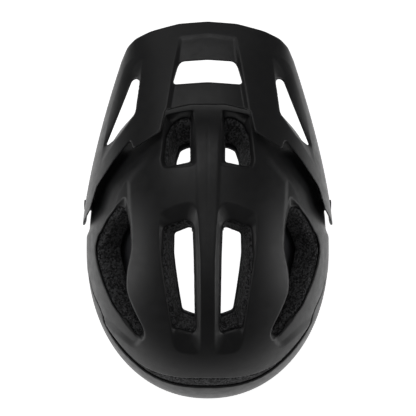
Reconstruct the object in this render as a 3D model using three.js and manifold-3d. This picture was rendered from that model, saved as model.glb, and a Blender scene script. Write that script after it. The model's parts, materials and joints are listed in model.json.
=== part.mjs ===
// Open-face trail cycling helmet with a tilting visor, millimetres, +Z up, front towards -Y.
// The origin is the centre of the widest level of the shell. The shell group leans 12 degrees,
// front up, as it is worn. In that group x is sideways, y runs to the rear and z is the crown.

import * as THREE from 'three';
import { mergeVertices } from 'three/addons/utils/BufferGeometryUtils.js';
import Module from 'manifold-3d';

const wasm = await Module();
wasm.setup();

// ---------- driving dimensions ----------
const LEAN = 12;
const DOME = { half: 108, front: 144, back: 132, up: 110, down: 150 };
const CAVITY = { half: 82, front: 114, back: 102, up: 86, down: 135 };
const DOME_POWER = 2.2;
const PLAN_POWER_FRONT = 2.35;
const PLAN_POWER_BACK = 2.1;
const SKIN = 1.6;
const GAP = 0.35;
const SLIP_GAP = 2;
const SLIP_THICK = 1.2;
const SLIP_INSET = 5;
const PAD_THICK = 7;
const PAD_CLEAR = 1.4;
const DENT = 2.4;
const AZIMUTHS = 40;
const RINGS = 10;
const BAND_RINGS = 3;
const SLIP_AZIMUTHS = 32;
const SLIP_RINGS = 7;

const VISOR_THICK = 2.2;
const VISOR_POWER = 2.3;
const VISOR_PIVOT = { y: -40, z: 12 };
const VISOR_FRONT = -202;
const VISOR_BACK = -14;
const SCREW_HOLE = 5.2;
const SCREW = {
  x: 107.2, head: 4.7, headLong: 2.6, shankX: 100.6, shank: 2.4, shankLong: 12, slot: [1.2, 7, 1.4],
};
const WASHER = { x: 104.4, outer: 4.9, inner: 2.7, long: 2.2 };
const NUT = { x: 99, outer: 4.9, inner: 2.7, long: 8 };

const WEB_WIDTH = 13;
const WEB_THICK = 1.4;
const STRAP_DROP = 6.5;
const DIVIDER = { x: 79, y: -4, top: -88, size: [6, 32, 20] };
const RACK = { y: 88, z: -86, size: [46, 8, 24], wall: 1.8 };
const PINION_RADIUS = 4;
const BAND = { width: 5, thick: 1.6 };
const KNOB = { radius: 16, depth: 9 };
const BUCKLE = { y: -57, z: -146.5, half: 16 };
const PLUG_SIZE = [24, 9, 12];
const ANCHOR = { radius: 5, elevation: 20, sink: 2.2, proud: 0.2 };

// ---------- outlines in the shell group's plan, on the +x side ----------
const LONG_VENT = [[34.6, -21], [35, 0], [33, 17], [30, 38], [26.5, 60], [13, 65], [11, 61],
  [12, 4], [13, -23], [19, -27]];
const LONG_RECESS = [[40.5, -34], [41, -24], [40, -3], [37, 19], [33.5, 40], [28.5, 77], [24, 83],
  [8, 84.5], [5.7, 79], [6.2, 4], [8.4, -36], [13.7, -44], [26.4, -41]];
const FRONT_VENT = [[28.9, -108], [22.4, -111], [15.5, -112], [15, -77], [32.2, -73], [34.2, -76],
  [32.6, -97]];
const FRONT_RECESS = [[12, -121], [9.6, -74.5], [14.5, -72], [37, -70.5], [39.4, -77], [35.5, -117]];
const SIDE_VENT = [[70, -37], [79, -27], [87, -14], [90, -3], [88, 10], [83, 24], [74, 43], [55.7, 68],
  [54, 62], [64, 47], [70, 33], [69.8, 16], [65.6, -4], [66.8, -24]];
const SIDE_RECESS = [[70, -49], [83, -32], [93.5, -16], [96.8, -5], [92.7, 17], [85.6, 33.5], [72, 60],
  [55.2, 76], [51.5, 68], [61.5, 46], [67.5, 32], [67, 16], [62.6, -4], [64, -25]];

const VENTS = [LONG_VENT, FRONT_VENT, SIDE_VENT];
const RECESSES = [LONG_RECESS, FRONT_RECESS, SIDE_RECESS];

const VISOR_OUTLINE = [[-75.5, -166], [-70, -177], [-62.6, -184], [-49, -190.3], [-25, -196.8],
  [0, -198.8], [25, -196.8], [49, -190.3], [62.6, -184], [70, -177], [75.5, -166], [130, -166],
  [130, -14], [111.5, -19], [99.6, -36], [93.5, -55.5], [78, -77.5], [64.6, -94], [62, -86.4],
  [39.1, -100.4], [35.1, -119], [15, -123.8], [-15, -123.8], [-35.1, -119], [-39.1, -100.4],
  [-62, -86.4], [-64.6, -94], [-78, -77.5], [-93.5, -55.5], [-99.6, -36], [-111.5, -19],
  [-130, -14], [-130, -166]];
const VISOR_WINDOW = [[-25, -158], [-22, -162], [0, -163.5], [22, -162], [25, -158], [29.3, -142],
  [0, -144], [-29.3, -142]];
const VISOR_SIDE_WINDOW = [[58.3, -146], [61, -148], [64.7, -146.3], [71.2, -129], [78.7, -110],
  [86.8, -90], [76, -97.5], [61.2, -117.5]];

// ---------- solids ----------
const triangleVolume = (p, [a, b, c]) => {
  const [u, v, w] = [a, b, c].map((i) => new THREE.Vector3(...p[i]));
  return u.dot(v.cross(w));
};

function closedSolid(points, faces) {
  const volume = faces.reduce((sum, face) => sum + triangleVolume(points, face), 0);
  const turned = volume < 0 ? faces.map(([a, b, c]) => [a, c, b]) : faces;
  const mesh = new wasm.Mesh({
    numProp: 3,
    vertProperties: new Float32Array(points.flat()),
    triVerts: new Uint32Array(turned.flat()),
  });
  return new wasm.Manifold(mesh);
}

function fromGeometry(source, matrix = new THREE.Matrix4()) {
  const bare = source.clone();
  bare.deleteAttribute('normal');
  bare.deleteAttribute('uv');
  const merged = mergeVertices(bare.applyMatrix4(matrix), 1e-4);
  const p = merged.attributes.position;
  const index = merged.index.array;
  const points = Array.from({ length: p.count }, (_, i) => [p.getX(i), p.getY(i), p.getZ(i)]);
  const faces = [];
  for (let i = 0; i < index.length; i += 3) {
    const face = [index[i], index[i + 1], index[i + 2]];
    if (new Set(face).size === 3) faces.push(face);
  }
  return closedSolid(points, faces);
}

function toGeometry(solid) {
  const mesh = solid.getMesh();
  const count = mesh.vertProperties.length / mesh.numProp;
  const positions = new Float32Array(count * 3);
  for (let i = 0; i < count; i += 1) {
    for (let k = 0; k < 3; k += 1) positions[3 * i + k] = mesh.vertProperties[i * mesh.numProp + k];
  }
  const geometry = new THREE.BufferGeometry();
  geometry.setAttribute('position', new THREE.BufferAttribute(positions, 3));
  geometry.setIndex(new THREE.BufferAttribute(new Uint32Array(mesh.triVerts), 1));
  geometry.computeVertexNormals();
  return geometry;
}

const placed = (x, y, z, rx = 0, ry = 0, rz = 0) => new THREE.Matrix4().compose(
  new THREE.Vector3(x, y, z),
  new THREE.Quaternion().setFromEuler(new THREE.Euler(rx, ry, rz)),
  new THREE.Vector3(1, 1, 1),
);

const box = (size, matrix) => fromGeometry(new THREE.BoxGeometry(...size), matrix);

// A cylinder along X, Y or Z.
function rod(radius, length, at, axis, sides = 24) {
  const turn = { x: [0, 0, Math.PI / 2], y: [0, 0, 0], z: [Math.PI / 2, 0, 0] }[axis];
  const cylinder = new THREE.CylinderGeometry(radius, radius, length, sides);
  return fromGeometry(cylinder, placed(...at, ...turn));
}

// A closed prism between two copies of one flat outline, each placed by its own function.
function prism(outline, low, high) {
  const contour = outline.map(([x, y]) => new THREE.Vector2(x, y));
  const caps = THREE.ShapeUtils.triangulateShape(contour, []);
  const n = outline.length;
  const points = [...outline.map(low), ...outline.map(high)];
  const faces = [];
  for (const [a, b, c] of caps) {
    faces.push([a, c, b], [a + n, b + n, c + n]);
  }
  const ccw = THREE.ShapeUtils.area(contour) > 0;
  for (let i = 0; i < n; i += 1) {
    const j = (i + 1) % n;
    if (ccw) faces.push([i, j, j + n], [i, j + n, i + n]);
    else faces.push([j, i, i + n], [j, i + n, j + n]);
  }
  return closedSolid(points, faces);
}

// A closed skin between two surfaces given by azimuth and depth: a pole, rings, and a rim.
function domeSolid(outer, inner, azimuths = AZIMUTHS, rings = RINGS) {
  const points = [];
  const faces = [];
  for (const surface of [outer, inner]) {
    points.push(surface(0, 0));
    for (let r = 1; r <= rings; r += 1) {
      for (let a = 0; a < azimuths; a += 1) {
        points.push(surface((2 * Math.PI * a) / azimuths, r / rings));
      }
    }
  }
  const side = 1 + azimuths * rings;
  const at = (layer, r, a) => layer * side + 1 + (r - 1) * azimuths + (a % azimuths);
  for (let a = 0; a < azimuths; a += 1) {
    for (const layer of [0, 1]) {
      const wind = layer ? ([p, q, s]) => [p, s, q] : (face) => face;
      faces.push(wind([layer * side, at(layer, 1, a), at(layer, 1, a + 1)]));
      for (let r = 1; r < rings; r += 1) {
        const [p, q] = [at(layer, r, a), at(layer, r, a + 1)];
        const [s, t] = [at(layer, r + 1, a), at(layer, r + 1, a + 1)];
        faces.push(wind([p, s, t]), wind([p, t, q]));
      }
    }
    const [p, q, s, t] = [at(0, rings, a), at(0, rings, a + 1), at(1, rings, a), at(1, rings, a + 1)];
    faces.push([p, s, t], [p, t, q]);
  }
  return closedSolid(points, faces);
}

// A closed strip with a rectangular section that follows a path; across gives its width direction.
function strip(path, across, width, thick) {
  const points = [];
  const faces = [];
  path.forEach((p, i) => {
    const before = path[Math.max(i - 1, 0)];
    const after = path[Math.min(i + 1, path.length - 1)];
    const along = after.clone().sub(before).normalize();
    const wide = across(i / (path.length - 1)).clone();
    wide.addScaledVector(along, -wide.dot(along)).normalize();
    const deep = along.clone().cross(wide).normalize();
    for (const [u, v] of [[-1, -1], [1, -1], [1, 1], [-1, 1]]) {
      const edge = p.clone().addScaledVector(wide, (u * width) / 2);
      points.push(edge.addScaledVector(deep, (v * thick) / 2).toArray());
    }
  });
  for (let i = 0; i + 1 < path.length; i += 1) {
    for (let k = 0; k < 4; k += 1) {
      const [a, b] = [4 * i + k, 4 * i + ((k + 1) % 4)];
      faces.push([a, b, b + 4], [a, b + 4, a + 4]);
    }
  }
  const last = 4 * (path.length - 1);
  faces.push([0, 2, 1], [0, 3, 2], [last, last + 1, last + 2], [last, last + 2, last + 3]);
  return closedSolid(points, faces);
}

const curve = (points, steps) => new THREE.CatmullRomCurve3(
  points.map((p) => new THREE.Vector3(...p)),
).getPoints(steps);

// ---------- the dome ----------
const radians = THREE.MathUtils.degToRad;
const step = (value, from, to) => THREE.MathUtils.smoothstep(value, from, to);

// The plan's share of a superellipsoid's sum at a point: 1 on its outline at the widest level.
function planShare(shape, x, y) {
  const power = y < 0 ? PLAN_POWER_FRONT : PLAN_POWER_BACK;
  const reach = y < 0 ? shape.front : shape.back;
  return ((Math.abs(x) / shape.half) ** power + (Math.abs(y) / reach) ** power) ** (DOME_POWER / power);
}

// How far the surface lies from the centre along a unit direction.
function radius(shape, [x, y, z]) {
  const height = (Math.abs(z) / (z < 0 ? shape.down : shape.up)) ** DOME_POWER;
  return (planShare(shape, x, y) + height) ** (-1 / DOME_POWER);
}

// Azimuth 0 is the front and grows towards +x; elevation is the angle above the level plane.
const direction = (azimuth, elevation) => [
  Math.sin(azimuth) * Math.cos(elevation),
  -Math.cos(azimuth) * Math.cos(elevation),
  Math.sin(elevation),
];
const fromFront = (azimuth) => {
  const turned = Math.abs(THREE.MathUtils.radToDeg(azimuth)) % 360;
  return turned > 180 ? 360 - turned : turned;
};

// The pocket in the shell that the visor's arms lie over.
function armPocket(azimuth, elevation) {
  const across = step(fromFront(azimuth), 22, 32) * (1 - step(fromFront(azimuth), 79, 84));
  return DENT * across * (1 - step(THREE.MathUtils.radToDeg(elevation), 38, 45));
}

function domePoint(azimuth, elevation, depth) {
  const d = direction(azimuth, elevation);
  const r = radius(DOME, d) - depth - armPocket(azimuth, elevation);
  return d.map((c) => c * r);
}

function cavityPoint(azimuth, elevation, depth) {
  const d = direction(azimuth, elevation);
  const r = radius(CAVITY, d) - depth;
  return d.map((c) => c * r);
}

// Piecewise-linear value of [angle from front, value] pairs, eased between the pairs.
function profile(pairs, angle) {
  const next = Math.max(1, pairs.findIndex(([at]) => at >= angle));
  const [[a, u], [b, v]] = [pairs[next - 1], pairs[next]];
  return u + (v - u) * step(angle, a, b);
}

// Edges of the shells, as [degrees from the front, elevation in degrees].
const RIM = [[0, -2], [35, -3.5], [95, -16], [180, -16.5]];
const UPPER_EDGE = [[0, 5], [50, 3], [80, -4], [95, 2], [106, 15], [119, 21.5], [143, 26],
  [180, 33.5]];
const LOWER_EDGE = [[0, 3.6], [50, 1.6], [80, -5.4], [95, 0.6], [106, 13.6], [119, 20], [150, 23],
  [180, 26.5]];

const edgeAt = (table) => (azimuth) => radians(profile(table, fromFront(azimuth)));
const [rim, upperEdge, lowerEdge] = [RIM, UPPER_EDGE, LOWER_EDGE].map(edgeAt);

const down = (edge, from = () => Math.PI / 2) => (azimuth, t) => {
  const top = from(azimuth);
  return top + (edge(azimuth) - top) * t;
};

function skinFrom(point, edge, outerDepth, innerDepth, azimuths = AZIMUTHS, rings = RINGS) {
  const elevation = down(edge);
  const surface = (depth) => (azimuth, t) => point(azimuth, elevation(azimuth, t), depth);
  return domeSolid(surface(outerDepth), surface(innerDepth), azimuths, rings);
}

// The height of the dome over a point of the plan.
function domeHeight(x, y) {
  return DOME.up * Math.max(1 - planShare(DOME, x, y), 0.001) ** (1 / DOME_POWER);
}

// A vent is cut towards the centre of the head, so its walls lean inwards.
function ventCutter(outline, mirror, low = 0.4, high = 1.12) {
  const at = (scale) => ([x, y]) => [mirror * x * scale, y * scale, domeHeight(x, y) * scale];
  return prism(outline, at(low), at(high));
}

const cutVents = (solid, outlines, low) => outlines.reduce(
  (left, outline) => [1, -1].reduce((s, side) => s.subtract(ventCutter(outline, side, low)), left),
  solid,
);

// ---------- shells and foam ----------
const outerShell = () => cutVents(
  skinFrom(domePoint, upperEdge, 0, SKIN),
  RECESSES,
  0.7,
).subtract(screwHoles(SCREW_HOLE));

// A band of the dome between two edges, open at the top.
function bandSolid(top, bottom, outerDepth, innerDepth) {
  const points = [];
  const faces = [];
  const [azimuths, rings] = [AZIMUTHS, BAND_RINGS];
  const rows = 2 * (rings + 1);
  for (let a = 0; a < azimuths; a += 1) {
    const azimuth = (2 * Math.PI * a) / azimuths;
    const level = (r) => top(azimuth) + (bottom(azimuth) - top(azimuth)) * (r / rings);
    for (let r = 0; r <= rings; r += 1) points.push(domePoint(azimuth, level(r), outerDepth));
    for (let r = rings; r >= 0; r -= 1) points.push(domePoint(azimuth, level(r), innerDepth));
  }
  for (let a = 0; a < azimuths; a += 1) {
    for (let r = 0; r < rows; r += 1) {
      const [p, q] = [a * rows + r, a * rows + ((r + 1) % rows)];
      const next = ((a + 1) % azimuths) * rows;
      const [s, t] = [next + r, next + ((r + 1) % rows)];
      faces.push([p, q, t], [p, t, s]);
    }
  }
  return closedSolid(points, faces);
}

const lowerShell = () => bandSolid(lowerEdge, rim, 0.1, SKIN - 0.3)
  .subtract(screwHoles(SCREW_HOLE));

// The foam's facets run parallel to those of both shells, so the gap to them is even.
function foam() {
  const rings = RINGS + 1 + BAND_RINGS;
  const elevation = (azimuth, t) => {
    const ring = Math.round(t * rings);
    if (ring <= RINGS) return down(upperEdge)(azimuth, ring / RINGS);
    return down(rim, lowerEdge)(azimuth, (ring - RINGS - 1) / BAND_RINGS);
  };
  const depth = (t) => SKIN + GAP + (Math.round(t * rings) > RINGS ? GAP : 0);
  const outer = (azimuth, t) => domePoint(azimuth, elevation(azimuth, t), depth(t));
  const inner = (azimuth, t) => cavityPoint(azimuth, elevation(azimuth, t), 0);
  return cutVents(domeSolid(outer, inner, AZIMUTHS, rings), VENTS)
    .subtract(screwHoles(SCREW_HOLE))
    .subtract(foamPockets());
}

const slipEdge = (azimuth) => rim(azimuth) + radians(SLIP_INSET);
const slipLiner = () => cutVents(
  skinFrom(cavityPoint, slipEdge, SLIP_GAP, SLIP_GAP + SLIP_THICK, SLIP_AZIMUTHS, SLIP_RINGS),
  VENTS,
);

// A pad is a patch of the cavity between two azimuths and two elevations, in degrees.
function pad([a0, a1], [e0, e1], steps = 8) {
  const level = SLIP_GAP + SLIP_THICK + PAD_CLEAR;
  const points = [];
  const faces = [];
  for (let i = 0; i <= steps; i += 1) {
    const azimuth = radians(a0 + ((a1 - a0) * i) / steps);
    const ends = Math.sin((Math.PI * i) / steps) ** 0.3;
    const middle = (e0 + e1) / 2;
    const reach = ((e1 - e0) / 2) * (0.6 + 0.4 * ends);
    const [low, high] = [radians(middle - reach), radians(middle + reach)];
    points.push(cavityPoint(azimuth, low, level), cavityPoint(azimuth, high, level));
    points.push(cavityPoint(azimuth, high, level + PAD_THICK));
    points.push(cavityPoint(azimuth, low, level + PAD_THICK));
  }
  for (let i = 0; i < steps; i += 1) {
    for (let k = 0; k < 4; k += 1) {
      const [a, b] = [4 * i + k, 4 * i + ((k + 1) % 4)];
      faces.push([a, b, b + 4], [a, b + 4, a + 4]);
    }
  }
  const last = 4 * steps;
  faces.push([0, 2, 1], [0, 3, 2], [last, last + 1, last + 2], [last, last + 2, last + 3]);
  return closedSolid(points, faces);
}

// ---------- visor ----------
const visorWidth = (y) => 110.5 - 0.02447 * Math.max(-15 - y, 0) ** 1.45;
const visorCrest = (y) => 96.4 - 0.48 * (-86 - y) - 0.0005 * Math.max(-86 - y, 0) ** 2;
const visorLip = (y) => (22 * (-20 - y)) / 155;

function visorSheet() {
  const steps = 14;
  const across = 22;
  const points = [];
  const faces = [];
  const ring = 2 * (across + 1);
  for (let i = 0; i <= steps; i += 1) {
    const y = VISOR_FRONT + ((VISOR_BACK - VISOR_FRONT) * i) / steps;
    for (const inset of [0, VISOR_THICK]) {
      for (let k = 0; k <= across; k += 1) {
        const angle = (Math.PI * (inset ? across - k : k)) / across;
        const [c, s] = [Math.cos(angle), Math.abs(Math.sin(angle))];
        const x = (visorWidth(y) - inset) * Math.sign(c) * Math.abs(c) ** (2 / VISOR_POWER);
        const rise = (visorCrest(y) - inset - visorLip(y)) * s ** (2 / VISOR_POWER);
        points.push([x, y, visorLip(y) + rise]);
      }
    }
  }
  for (let i = 0; i < steps; i += 1) {
    for (let k = 0; k < ring; k += 1) {
      const [a, b] = [i * ring + k, i * ring + ((k + 1) % ring)];
      faces.push([a, b, b + ring], [a, b + ring, a + ring]);
    }
  }
  for (let k = 0; k < across; k += 1) {
    const [p, q, s, t] = [k, k + 1, ring - 2 - k, ring - 1 - k];
    const end = steps * ring;
    faces.push([p, s, q], [p, t, s], [end + p, end + q, end + s], [end + p, end + s, end + t]);
  }
  return closedSolid(points, faces);
}

const upright = (outline, mirror = 1) => prism(
  outline,
  ([x, y]) => [mirror * x, y, -40],
  ([x, y]) => [mirror * x, y, 160],
);

function screwHoles(r) {
  const { y, z } = VISOR_PIVOT;
  return rod(r, 36, [105, y, z], 'x').add(rod(r, 36, [-105, y, z], 'x'));
}

const visor = () => visorSheet()
  .intersect(upright(VISOR_OUTLINE))
  .subtract(upright(VISOR_WINDOW))
  .subtract(upright(VISOR_SIDE_WINDOW))
  .subtract(upright(VISOR_SIDE_WINDOW, -1))
  .subtract(screwHoles(5));

function visorScrew(side) {
  const { y, z } = VISOR_PIVOT;
  const head = rod(SCREW.head, SCREW.headLong, [side * SCREW.x, y, z], 'x');
  const shank = rod(SCREW.shank, SCREW.shankLong, [side * SCREW.shankX, y, z], 'x', 16);
  const slot = box(SCREW.slot, placed(side * (SCREW.x + 1.2), y, z));
  return head.add(shank).subtract(slot);
}

function pivotRing(side, { x, outer, inner, long }) {
  const at = [side * x, VISOR_PIVOT.y, VISOR_PIVOT.z];
  return rod(outer, long, at, 'x').subtract(rod(inner, long + 2, at, 'x', 20));
}

// ---------- fixings in the foam ----------
const PLUG_AZIMUTHS = { front: 68, rear: 128 };
const ANCHOR_AZIMUTHS = [45, 135, 225, 315];

// The centre of the foam's lower rim at an azimuth in degrees.
function rimCentre(degrees) {
  const azimuth = radians(degrees);
  const level = rim(azimuth);
  const [outside, inside] = [domePoint(azimuth, level, 0), cavityPoint(azimuth, level, 0)];
  return outside.map((c, i) => (c + inside[i]) / 2);
}

function rimBox(degrees, [wide, deep, tall], drop) {
  const [x, y, z] = rimCentre(degrees);
  return box([wide, deep, tall], placed(x, y, z - drop + tall / 2, 0, 0, radians(degrees)));
}

const strapPlug = (degrees) => rimBox(degrees, PLUG_SIZE, 1.4);
const plugPocket = (degrees) => rimBox(degrees, [PLUG_SIZE[0] + 0.8, PLUG_SIZE[1] + 0.8, 24], 13);

function radialRod(degrees, elevation, r, out, into) {
  const d = new THREE.Vector3(...direction(radians(degrees), radians(elevation)));
  const surface = radius(CAVITY, d.toArray());
  const length = out + into;
  const turn = new THREE.Quaternion().setFromUnitVectors(new THREE.Vector3(0, 1, 0), d);
  const at = d.clone().multiplyScalar(surface + (out - into) / 2);
  const matrix = new THREE.Matrix4().compose(at, turn, new THREE.Vector3(1, 1, 1));
  return fromGeometry(new THREE.CylinderGeometry(r, r, length, 20), matrix);
}

const slipAnchor = (degrees) => radialRod(
  degrees,
  ANCHOR.elevation,
  ANCHOR.radius,
  ANCHOR.sink,
  ANCHOR.proud,
);
const anchorPocket = (degrees) => radialRod(
  degrees,
  ANCHOR.elevation,
  ANCHOR.radius + GAP,
  ANCHOR.sink + GAP,
  4,
);

const lean = new THREE.Matrix4().makeRotationX(radians(-LEAN));
const unlean = lean.clone().invert();
const RAIL = { y: 89.4, z: -38, size: [18, 2.6, 30], foot: [12, 9, 5] };

const railFoot = (grow) => box(
  RAIL.foot.map((c) => c + 2 * grow),
  placed(0, RAIL.y + RAIL.foot[1] / 2, RAIL.z - 8),
);
const heightRail = () => box(RAIL.size, placed(0, RAIL.y, RAIL.z)).add(railFoot(0));

function foamPockets() {
  const sides = Object.values(PLUG_AZIMUTHS).flatMap((azimuth) => [azimuth, -azimuth]);
  const cuts = [...sides.map(plugPocket), ...ANCHOR_AZIMUTHS.map(anchorPocket)];
  const foot = fromGeometry(toGeometry(railFoot(0.4)), unlean);
  return cuts.reduce((all, cut) => all.add(cut), foot);
}

// ---------- rear cradle and fit dial, upright frame ----------
const YOKE_PATH = [[-50, 60, -57], [-30, 78, -63.5], [0, 86.2, -66], [30, 78, -63.5], [50, 60, -57]];
const SPINE = { y: 85.4, top: -22, bottom: -66, size: [12, 3] };
const across = (x, y, z) => () => new THREE.Vector3(x, y, z);
const mirrored = (path, side) => path.map(([x, y, z]) => [side * x, y, z]);

function cradle() {
  const yoke = strip(curve(YOKE_PATH, 20), across(0, 0, 1), 14, 2.4);
  const tall = SPINE.top - SPINE.bottom;
  return yoke.add(box([...SPINE.size, tall], placed(0, SPINE.y, SPINE.bottom + tall / 2)));
}

function napePad(side) {
  const path = [[8, 81, -65.5], [20, 77.5, -64.5], [32, 71.2, -62], [44, 61, -58]];
  return strip(curve(mirrored(path, side), 8), across(0, 0, 1), 16, 4);
}

function rackHousing() {
  const { y, z, size, wall } = RACK;
  const slot = box([size[0] + 2, size[1] - 2 * wall, size[2] - 2 * wall], placed(0, y, z));
  return box(size, placed(0, y, z)).subtract(slot).subtract(rod(3, 8, [0, y + 4, z], 'y', 16));
}

function pinion() {
  const teeth = 10;
  const outline = [];
  for (let i = 0; i < teeth; i += 1) {
    for (const [turn, r] of [[0, 3.1], [0.3, 3.1], [0.42, 3.9], [0.82, 3.9], [0.95, 3.1]]) {
      const angle = (2 * Math.PI * (i + turn)) / teeth;
      outline.push([r * Math.cos(angle), r * Math.sin(angle)]);
    }
  }
  const slice = (y) => ([x, z]) => [x, RACK.y + y, RACK.z + z];
  return prism(outline, slice(-1.8), slice(1.8));
}

function dialKnob() {
  const ribs = 20;
  const outline = [];
  for (let i = 0; i < ribs; i += 1) {
    for (const [turn, r] of [[0, 1], [0.5, 1], [0.6, 0.94], [0.9, 0.94]]) {
      const angle = (2 * Math.PI * (i + turn)) / ribs;
      outline.push([r * KNOB.radius * Math.cos(angle), r * KNOB.radius * Math.sin(angle)]);
    }
  }
  const front = RACK.y + RACK.size[1] / 2 + GAP;
  const slice = (y) => ([x, z]) => [x, y, RACK.z + z];
  const shaft = rod(2.6, 2.4, [0, front - 1.1, RACK.z], 'y', 16);
  return prism(outline, slice(front), slice(front + KNOB.depth)).add(shaft);
}

const BAND_PATH = [[50, 78, -80], [66, 52, -64], [71, 20, -44], [70.5, -15, -22], [67, -43, -2]];

// Each band runs through the rack housing on its own side of the pinion, then to its temple.
function fitBand(side) {
  const level = side * (PINION_RADIUS + GAP + BAND.width / 2);
  const rack = [-18, 0, 26].map((x) => [x, RACK.y, RACK.z + level]);
  const path = curve(mirrored([...rack, ...BAND_PATH], side), 24);
  return strip(path, across(0, 0, 1), BAND.width, BAND.thick);
}

// ---------- straps and buckle, upright frame ----------
function strapStart(azimuth, side) {
  const [x, y, z] = rimCentre(azimuth);
  return new THREE.Vector3(side * x, y, z - STRAP_DROP).applyMatrix4(lean).toArray();
}

function earStrap(side, end) {
  const azimuth = PLUG_AZIMUTHS[end];
  const start = strapStart(azimuth, side);
  const offset = end === 'front' ? -8 : 8;
  const stop = [side * DIVIDER.x, DIVIDER.y + offset, DIVIDER.top + 4];
  const middle = start.map((c, i) => 0.4 * c + 0.6 * stop[i]);
  const above = [stop[0], stop[1] + 0.35 * (middle[1] - stop[1]), stop[2] + 9];
  return strip(curve([start, middle, above, stop], 12), across(0, 1, 0), WEB_WIDTH, WEB_THICK);
}

function divider(side) {
  const { x, y, top, size } = DIVIDER;
  const body = box(size, placed(side * x, y, top - size[2] / 2));
  const seat = box([2.6, 22, 14], placed(side * (x + 2.2), y, top - size[2] / 2 - 1));
  return body.subtract(seat);
}

function dividerLever(side) {
  const { x, y, top, size } = DIVIDER;
  return box([1.9, 21.2, 13.2], placed(side * (x + 2.35), y, top - size[2] / 2 - 1));
}

const CHIN_PATH = [[79, -4, -113.5], [74.5, -24, -127], [58, -45, -139], [38, BUCKLE.y + 1, -144.5],
  [16.4, BUCKLE.y, BUCKLE.z]];

function chinStrap(side) {
  return strip(curve(mirrored(CHIN_PATH, side), 18), across(0, 1, 0), WEB_WIDTH, WEB_THICK);
}

// The pad lies on the inner face of the chin strap's left half.
function chinPad() {
  const path = [[57.4, -45.5, -135.8], [47.4, -51.5, -139.1], [37.4, BUCKLE.y + 1, -141.3],
    [23.4, BUCKLE.y, -142.8]];
  return strip(curve(path, 8), across(0, 1, 0), 16, 4);
}

function strapKeeper() {
  const matrix = placed(-27, BUCKLE.y + 0.4, -145.6, 0, radians(5), 0);
  return box([7, WEB_WIDTH + 5, 5], matrix).subtract(box([9, WEB_WIDTH + 1.2, 2.6], matrix));
}

function buckleSocket() {
  const { y, z, half } = BUCKLE;
  const body = box([half - 1, 22, 8], placed(1 + (half - 1) / 2, y, z));
  const hollow = box([12.6, 17, 5], placed(1 + 6.2, y, z));
  const window = box([7, 26, 4], placed(8.2, y, z));
  return body.subtract(hollow).subtract(window);
}

function bucklePlug() {
  const { y, z, half } = BUCKLE;
  const body = box([half + 0.6, 20, 7], placed((0.6 - half) / 2, y, z));
  const tongue = box([13, 4.4, 3.4], placed(6, y, z));
  return body.add(tongue);
}

const PRONG_OUTLINE = [[1, 5.4], [11, 5.4], [11.2, 7.4], [8.2, 10.6], [5.4, 10.6], [5.4, 7.8],
  [1, 7.8]];

function buckleProng(side) {
  const { y, z } = BUCKLE;
  const slice = (level) => ([u, v]) => [u, y + side * v, z + level];
  return prism(PRONG_OUTLINE, slice(-1.6), slice(1.6));
}

// ---------- assembly ----------
const root = new THREE.Group();
const shellGroup = new THREE.Group();
shellGroup.rotation.x = radians(-LEAN);
root.add(shellGroup);

const look = (color, roughness) => new THREE.MeshStandardMaterial({ color, roughness, metalness: 0 });

function place(group, name, solid, material) {
  const mesh = new THREE.Mesh(toGeometry(solid), material);
  mesh.name = name;
  group.add(mesh);
}

place(shellGroup, 'outer_shell', outerShell(), look(0x151516, 0.55));
place(shellGroup, 'lower_shell', lowerShell(), look(0x121213, 0.5));
place(shellGroup, 'eps_liner', foam(), look(0x202022, 0.9));
place(shellGroup, 'slip_liner', slipLiner(), look(0x2a2a2c, 0.4));
place(shellGroup, 'visor', visor(), look(0x18181a, 0.5));
place(shellGroup, 'brow_pad', pad([-42, 42], [2, 14], 14), look(0x1c1c1e, 0.95));
place(shellGroup, 'crown_pad_front', pad([-6, 6], [32, 62], 4), look(0x1c1c1e, 0.95));
place(shellGroup, 'crown_pad_rear', pad([174, 186], [32, 62], 4), look(0x1c1c1e, 0.95));
place(shellGroup, 'crown_pad_left', pad([78, 102], [52, 61], 6), look(0x1c1c1e, 0.95));
place(shellGroup, 'crown_pad_right', pad([258, 282], [52, 61], 6), look(0x1c1c1e, 0.95));
ANCHOR_AZIMUTHS.forEach((azimuth, i) => {
  place(shellGroup, `slip_anchor_${i + 1}`, slipAnchor(azimuth), look(0xb8a21c, 0.6));
});

place(root, 'height_rail', heightRail(), look(0x101011, 0.5));
place(root, 'cradle', cradle(), look(0x131314, 0.5));
place(root, 'rack_housing', rackHousing(), look(0x131314, 0.45));
place(root, 'dial_pinion', pinion(), look(0x303033, 0.4));
place(root, 'dial_knob', dialKnob(), look(0x0f0f10, 0.7));
place(root, 'chin_pad', chinPad(), look(0x1c1c1e, 0.95));
place(root, 'strap_keeper', strapKeeper(), look(0x111112, 0.8));
place(root, 'buckle_socket', buckleSocket(), look(0x141415, 0.4));
place(root, 'buckle_plug', bucklePlug(), look(0x141415, 0.4));

for (const [name, side] of [['left', 1], ['right', -1]]) {
  place(shellGroup, `visor_screw_${name}`, visorScrew(side), look(0x1a1a1c, 0.4));
  place(shellGroup, `visor_washer_${name}`, pivotRing(side, WASHER), look(0x404042, 0.4));
  place(shellGroup, `visor_nut_${name}`, pivotRing(side, NUT), look(0x8a7a3a, 0.3));
  for (const [end, azimuth] of Object.entries(PLUG_AZIMUTHS)) {
    place(shellGroup, `strap_plug_${end}_${name}`, strapPlug(side * azimuth), look(0x0e0e0f, 0.5));
    place(root, `ear_strap_${end}_${name}`, earStrap(side, end), look(0x161617, 0.9));
  }
  place(root, `nape_pad_${name}`, napePad(side), look(0x1c1c1e, 0.95));
  place(root, `fit_band_${name}`, fitBand(side), look(0x131314, 0.5));
  place(root, `strap_divider_${name}`, divider(side), look(0x141415, 0.45));
  place(root, `divider_lever_${name}`, dividerLever(side), look(0x1a1a1b, 0.4));
  place(root, `chin_strap_${name}`, chinStrap(side), look(0x161617, 0.9));
}
place(root, 'buckle_prong_rear', buckleProng(1), look(0x141415, 0.4));
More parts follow.
